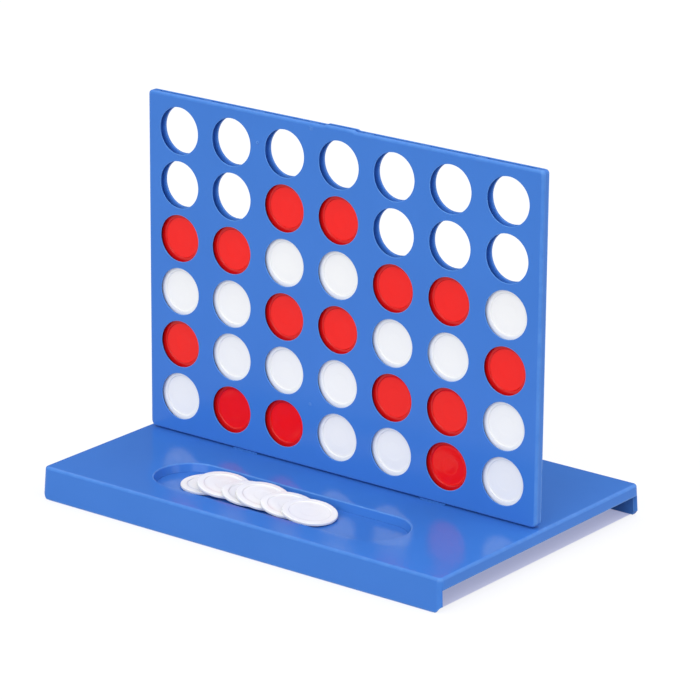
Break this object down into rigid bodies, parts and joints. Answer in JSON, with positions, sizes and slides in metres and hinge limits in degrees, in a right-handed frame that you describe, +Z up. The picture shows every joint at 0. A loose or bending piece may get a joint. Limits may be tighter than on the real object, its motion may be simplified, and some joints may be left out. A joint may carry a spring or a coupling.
{
  "type": "four in a row frame",
  "caption": "Tabletop strategy game: upright grid of open-topped columns with round windows, plugged into a low tray base, with coloured discs in the columns and trays.",
  "frame": {"origin": "on the floor under the middle of the base, at the bottom centre of the box around the part", "axes": "+X runs along the row of columns, +Y points to the rear of the base, +Z points up"},
  "size_m": [0.1776, 0.1198, 0.14],
  "materials": {
    "blue_plastic": "glossy moulded plastic",
    "red_plastic": "glossy moulded plastic",
    "white_plastic": "glossy moulded plastic"
  },
  "bodies": {
    "base": {"base": "blue_plastic"},
    "grid": {"front_panel": "blue_plastic", "column_dividers": "blue_plastic", "rear_panel": "blue_plastic"},
    "white_disc_a1": {"white_disc_a1": "white_plastic"},
    "red_disc_a2": {"red_disc_a2": "red_plastic"},
    "white_disc_a3": {"white_disc_a3": "white_plastic"},
    "red_disc_a4": {"red_disc_a4": "red_plastic"},
    "red_disc_b1": {"red_disc_b1": "red_plastic"},
    "white_disc_b2": {"white_disc_b2": "white_plastic"},
    "white_disc_b3": {"white_disc_b3": "white_plastic"},
    "red_disc_b4": {"red_disc_b4": "red_plastic"},
    "red_disc_c1": {"red_disc_c1": "red_plastic"},
    "white_disc_c2": {"white_disc_c2": "white_plastic"},
    "red_disc_c3": {"red_disc_c3": "red_plastic"},
    "white_disc_c4": {"white_disc_c4": "white_plastic"},
    "red_disc_c5": {"red_disc_c5": "red_plastic"},
    "white_disc_d1": {"white_disc_d1": "white_plastic"},
    "white_disc_d2": {"white_disc_d2": "white_plastic"},
    "red_disc_d3": {"red_disc_d3": "red_plastic"},
    "white_disc_d4": {"white_disc_d4": "white_plastic"},
    "red_disc_d5": {"red_disc_d5": "red_plastic"},
    "white_disc_e1": {"white_disc_e1": "white_plastic"},
    "red_disc_e2": {"red_disc_e2": "red_plastic"},
    "white_disc_e3": {"white_disc_e3": "white_plastic"},
    "red_disc_e4": {"red_disc_e4": "red_plastic"},
    "red_disc_f1": {"red_disc_f1": "red_plastic"},
    "red_disc_f2": {"red_disc_f2": "red_plastic"},
    "white_disc_f3": {"white_disc_f3": "white_plastic"},
    "red_disc_f4": {"red_disc_f4": "red_plastic"},
    "white_disc_g1": {"white_disc_g1": "white_plastic"},
    "white_disc_g2": {"white_disc_g2": "white_plastic"},
    "red_disc_g3": {"red_disc_g3": "red_plastic"},
    "white_disc_g4": {"white_disc_g4": "white_plastic"},
    "white_disc_front_1": {"white_disc_front_1": "white_plastic"},
    "white_disc_front_2": {"white_disc_front_2": "white_plastic"},
    "white_disc_front_3": {"white_disc_front_3": "white_plastic"},
    "white_disc_front_4": {"white_disc_front_4": "white_plastic"},
    "white_disc_front_5": {"white_disc_front_5": "white_plastic"},
    "white_disc_front_6": {"white_disc_front_6": "white_plastic"},
    "red_disc_rear_1": {"red_disc_rear_1": "red_plastic"},
    "red_disc_rear_2": {"red_disc_rear_2": "red_plastic"},
    "red_disc_rear_3": {"red_disc_rear_3": "red_plastic"},
    "red_disc_rear_4": {"red_disc_rear_4": "red_plastic"},
    "red_disc_rear_5": {"red_disc_rear_5": "red_plastic"},
    "red_disc_rear_6": {"red_disc_rear_6": "red_plastic"}
  },
  "joints": [
    {"name": "grid_lift", "type": "slide", "parent": "base", "child": "grid", "axis": [0, 0, 1], "range_m": [0, 0.02]},
    {"name": "disc_a1_slide", "type": "slide", "parent": "grid", "child": "white_disc_a1", "axis": [0, 0, 1], "range_m": [0, 0.1249]},
    {"name": "disc_a2_slide", "type": "slide", "parent": "grid", "child": "red_disc_a2", "axis": [0, 0, 1], "range_m": [0, 0.1249]},
    {"name": "disc_a3_slide", "type": "slide", "parent": "grid", "child": "white_disc_a3", "axis": [0, 0, 1], "range_m": [0, 0.1249]},
    {"name": "disc_a4_slide", "type": "slide", "parent": "white_disc_a3", "child": "red_disc_a4", "axis": [0, 0, 1], "range_m": [0, 0.0648]},
    {"name": "disc_b1_slide", "type": "slide", "parent": "grid", "child": "red_disc_b1", "axis": [0, 0, 1], "range_m": [0, 0.1249]},
    {"name": "disc_b2_slide", "type": "slide", "parent": "grid", "child": "white_disc_b2", "axis": [0, 0, 1], "range_m": [0, 0.1249]},
    {"name": "disc_b3_slide", "type": "slide", "parent": "grid", "child": "white_disc_b3", "axis": [0, 0, 1], "range_m": [0, 0.1249]},
    {"name": "disc_b4_slide", "type": "slide", "parent": "white_disc_b3", "child": "red_disc_b4", "axis": [0, 0, 1], "range_m": [0, 0.0648]},
    {"name": "disc_c1_slide", "type": "slide", "parent": "grid", "child": "red_disc_c1", "axis": [0, 0, 1], "range_m": [0, 0.1249]},
    {"name": "disc_c2_slide", "type": "slide", "parent": "grid", "child": "white_disc_c2", "axis": [0, 0, 1], "range_m": [0, 0.1249]},
    {"name": "disc_c3_slide", "type": "slide", "parent": "grid", "child": "red_disc_c3", "axis": [0, 0, 1], "range_m": [0, 0.1249]},
    {"name": "disc_c4_slide", "type": "slide", "parent": "grid", "child": "white_disc_c4", "axis": [0, 0, 1], "range_m": [0, 0.1249]},
    {"name": "disc_c5_slide", "type": "slide", "parent": "white_disc_c4", "child": "red_disc_c5", "axis": [0, 0, 1], "range_m": [0, 0.0448]},
    {"name": "disc_d1_slide", "type": "slide", "parent": "grid", "child": "white_disc_d1", "axis": [0, 0, 1], "range_m": [0, 0.1249]},
    {"name": "disc_d2_slide", "type": "slide", "parent": "grid", "child": "white_disc_d2", "axis": [0, 0, 1], "range_m": [0, 0.1249]},
    {"name": "disc_d3_slide", "type": "slide", "parent": "grid", "child": "red_disc_d3", "axis": [0, 0, 1], "range_m": [0, 0.1249]},
    {"name": "disc_d4_slide", "type": "slide", "parent": "grid", "child": "white_disc_d4", "axis": [0, 0, 1], "range_m": [0, 0.1249]},
    {"name": "disc_d5_slide", "type": "slide", "parent": "white_disc_d4", "child": "red_disc_d5", "axis": [0, 0, 1], "range_m": [0, 0.0448]},
    {"name": "disc_e1_slide", "type": "slide", "parent": "grid", "child": "white_disc_e1", "axis": [0, 0, 1], "range_m": [0, 0.1249]},
    {"name": "disc_e2_slide", "type": "slide", "parent": "grid", "child": "red_disc_e2", "axis": [0, 0, 1], "range_m": [0, 0.1249]},
    {"name": "disc_e3_slide", "type": "slide", "parent": "grid", "child": "white_disc_e3", "axis": [0, 0, 1], "range_m": [0, 0.1249]},
    {"name": "disc_e4_slide", "type": "slide", "parent": "white_disc_e3", "child": "red_disc_e4", "axis": [0, 0, 1], "range_m": [0, 0.0648]},
    {"name": "disc_f1_slide", "type": "slide", "parent": "grid", "child": "red_disc_f1", "axis": [0, 0, 1], "range_m": [0, 0.1249]},
    {"name": "disc_f2_slide", "type": "slide", "parent": "grid", "child": "red_disc_f2", "axis": [0, 0, 1], "range_m": [0, 0.1249]},
    {"name": "disc_f3_slide", "type": "slide", "parent": "grid", "child": "white_disc_f3", "axis": [0, 0, 1], "range_m": [0, 0.1249]},
    {"name": "disc_f4_slide", "type": "slide", "parent": "white_disc_f3", "child": "red_disc_f4", "axis": [0, 0, 1], "range_m": [0, 0.0648]},
    {"name": "disc_g1_slide", "type": "slide", "parent": "grid", "child": "white_disc_g1", "axis": [0, 0, 1], "range_m": [0, 0.1249]},
    {"name": "disc_g2_slide", "type": "slide", "parent": "grid", "child": "white_disc_g2", "axis": [0, 0, 1], "range_m": [0, 0.1249]},
    {"name": "disc_g3_slide", "type": "slide", "parent": "grid", "child": "red_disc_g3", "axis": [0, 0, 1], "range_m": [0, 0.1249]},
    {"name": "disc_g4_slide", "type": "slide", "parent": "red_disc_g3", "child": "white_disc_g4", "axis": [0, 0, 1], "range_m": [0, 0.0648]},
    {"name": "tray_front_disc_1_lift", "type": "slide", "parent": "base", "child": "white_disc_front_1", "axis": [0, 0, 1], "range_m": [0, 0.012]},
    {"name": "tray_front_disc_2_lift", "type": "slide", "parent": "white_disc_front_1", "child": "white_disc_front_2", "axis": [0, 0, 1], "range_m": [0, 0.012]},
    {"name": "tray_front_disc_3_lift", "type": "slide", "parent": "white_disc_front_2", "child": "white_disc_front_3", "axis": [0, 0, 1], "range_m": [0, 0.012]},
    {"name": "tray_front_disc_4_lift", "type": "slide", "parent": "white_disc_front_3", "child": "white_disc_front_4", "axis": [0, 0, 1], "range_m": [0, 0.012]},
    {"name": "tray_front_disc_5_lift", "type": "slide", "parent": "white_disc_front_4", "child": "white_disc_front_5", "axis": [0, 0, 1], "range_m": [0, 0.012]},
    {"name": "tray_front_disc_6_lift", "type": "slide", "parent": "white_disc_front_5", "child": "white_disc_front_6", "axis": [0, 0, 1], "range_m": [0, 0.012]},
    {"name": "tray_rear_disc_1_lift", "type": "slide", "parent": "base", "child": "red_disc_rear_1", "axis": [0, 0, 1], "range_m": [0, 0.012]},
    {"name": "tray_rear_disc_2_lift", "type": "slide", "parent": "red_disc_rear_1", "child": "red_disc_rear_2", "axis": [0, 0, 1], "range_m": [0, 0.012]},
    {"name": "tray_rear_disc_3_lift", "type": "slide", "parent": "red_disc_rear_2", "child": "red_disc_rear_3", "axis": [0, 0, 1], "range_m": [0, 0.012]},
    {"name": "tray_rear_disc_4_lift", "type": "slide", "parent": "red_disc_rear_3", "child": "red_disc_rear_4", "axis": [0, 0, 1], "range_m": [0, 0.012]},
    {"name": "tray_rear_disc_5_lift", "type": "slide", "parent": "red_disc_rear_4", "child": "red_disc_rear_5", "axis": [0, 0, 1], "range_m": [0, 0.012]},
    {"name": "tray_rear_disc_6_lift", "type": "slide", "parent": "red_disc_rear_5", "child": "red_disc_rear_6", "axis": [0, 0, 1], "range_m": [0, 0.012]}
  ],
  "couplings": [
    {"joint": "disc_a2_slide", "follows": "disc_a1_slide", "ratio": 1},
    {"joint": "disc_a3_slide", "follows": "disc_a1_slide", "ratio": 1},
    {"joint": "disc_b2_slide", "follows": "disc_b1_slide", "ratio": 1},
    {"joint": "disc_b3_slide", "follows": "disc_b1_slide", "ratio": 1},
    {"joint": "disc_c2_slide", "follows": "disc_c1_slide", "ratio": 1},
    {"joint": "disc_c3_slide", "follows": "disc_c1_slide", "ratio": 1},
    {"joint": "disc_c4_slide", "follows": "disc_c1_slide", "ratio": 1},
    {"joint": "disc_d2_slide", "follows": "disc_d1_slide", "ratio": 1},
    {"joint": "disc_d3_slide", "follows": "disc_d1_slide", "ratio": 1},
    {"joint": "disc_d4_slide", "follows": "disc_d1_slide", "ratio": 1},
    {"joint": "disc_e2_slide", "follows": "disc_e1_slide", "ratio": 1},
    {"joint": "disc_e3_slide", "follows": "disc_e1_slide", "ratio": 1},
    {"joint": "disc_f2_slide", "follows": "disc_f1_slide", "ratio": 1},
    {"joint": "disc_f3_slide", "follows": "disc_f1_slide", "ratio": 1},
    {"joint": "disc_g2_slide", "follows": "disc_g1_slide", "ratio": 1},
    {"joint": "disc_g3_slide", "follows": "disc_g1_slide", "ratio": 1}
  ]
}
